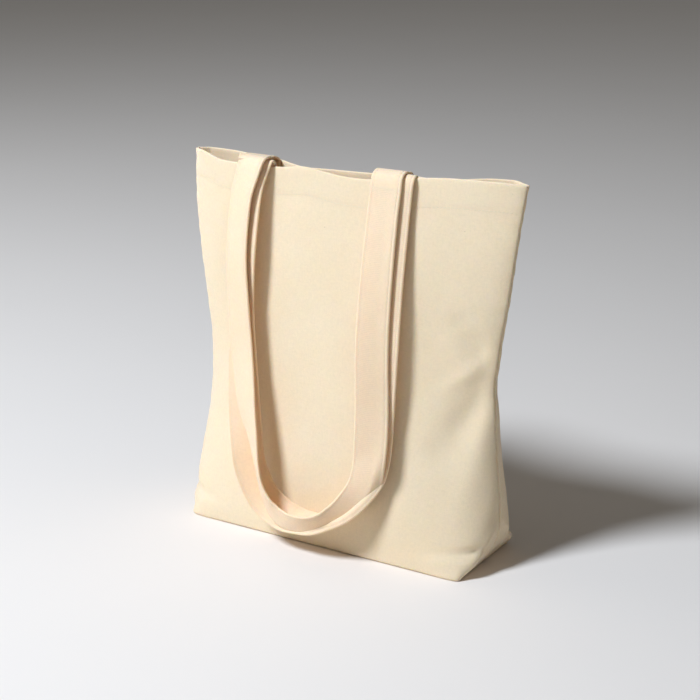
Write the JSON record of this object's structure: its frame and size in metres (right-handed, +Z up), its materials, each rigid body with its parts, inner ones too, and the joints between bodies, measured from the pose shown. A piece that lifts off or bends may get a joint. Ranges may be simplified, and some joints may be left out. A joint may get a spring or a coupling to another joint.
{
  "type": "tote bag",
  "caption": "Plain canvas tote bag with a boxed base, an open mouth with turned-in hems, and long flat shoulder straps draped over the front.",
  "frame": {"origin": "centre of the underside of the base, where the bag stands", "axes": "+Z up, +X the bag's right seen from the front, +Y towards its back; the straps hang over the front, on -Y"},
  "size_m": [0.34, 0.1335, 0.344],
  "materials": {
    "canvas": "natural unbleached cotton canvas, fine plain weave with small seed flecks",
    "strap_canvas": "natural cotton strap folded from the same canvas, a little pinker, stitched along both edges",
    "thread": "cream cotton sewing thread"
  },
  "bodies": {
    "bag": {"back_panel": "canvas", "base_panel": "canvas", "back_hem": "canvas", "left_seam_allowance": "canvas", "right_seam_allowance": "canvas", "left_corner_allowance": "canvas", "right_corner_allowance": "canvas", "back_strap_left_end": "strap_canvas", "back_strap_right_end": "strap_canvas", "back_hem_thread": "thread", "back_strap_tacks": "thread", "left_side_thread": "thread", "right_side_thread": "thread", "left_corner_thread": "thread", "right_corner_thread": "thread"},
    "front": {"front_panel": "canvas", "front_hem": "canvas", "front_strap_left_end": "strap_canvas", "front_strap_right_end": "strap_canvas", "front_hem_thread": "thread", "front_strap_tacks": "thread"},
    "front_strap": {"front_strap_loop": "strap_canvas", "front_strap_thread": "thread"},
    "back_strap": {"back_strap_loop": "strap_canvas", "back_strap_thread": "thread"}
  },
  "joints": [
    {"name": "mouth_open", "type": "hinge", "parent": "bag", "child": "front", "pos_m": [0, -0.05, 0.0013], "axis": [1, 0, 0], "range_deg": [0, 10]},
    {"name": "front_strap_lift", "type": "hinge", "parent": "front", "child": "front_strap", "pos_m": [0, -0.012, 0.344], "axis": [-1, 0, 0], "range_deg": [0, 175]},
    {"name": "back_strap_lift", "type": "hinge", "parent": "front", "child": "back_strap", "pos_m": [0, -0.012, 0.344], "axis": [-1, 0, 0], "range_deg": [0, 175]}
  ],
  "couplings": [
    {"joint": "back_strap_lift", "follows": "front_strap_lift", "ratio": 1}
  ]
}
